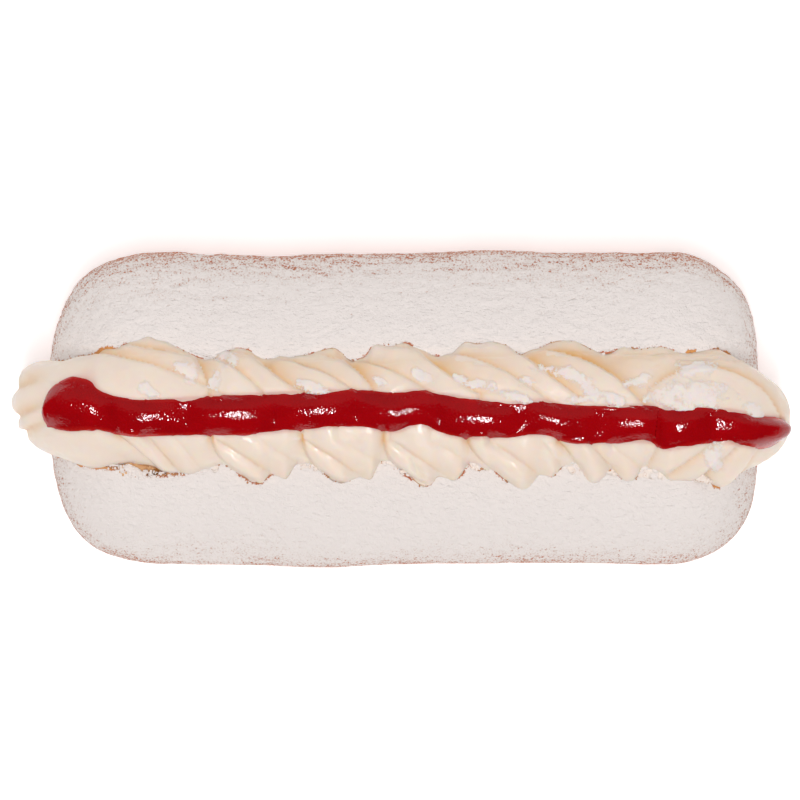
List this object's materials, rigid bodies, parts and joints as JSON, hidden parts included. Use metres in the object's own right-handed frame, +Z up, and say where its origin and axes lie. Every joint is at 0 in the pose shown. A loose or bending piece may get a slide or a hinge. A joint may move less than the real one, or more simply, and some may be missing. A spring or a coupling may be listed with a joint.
{
  "type": "cream finger bun",
  "caption": "Long soft finger roll split along its top, filled with a twisted rope of piped cream that stands past both ends, with a line of jam along the crest.",
  "frame": {"origin": "centre of the object's box in X and Y, at the level of the flat base", "axes": "+X along the roll, from the jam's round head to its pointed end, +Z up through the split"},
  "size_m": [0.174, 0.0718, 0.0564],
  "materials": {
    "bread": "soft browned crust under a matte dusting of icing sugar",
    "cream": "smooth, moist and slightly see-through at thin edges",
    "jam": "wet gloss, clear deep red"
  },
  "bodies": {
    "root": {"bun": "bread", "cream": "cream", "jam": "jam"}
  },
  "joints": []
}
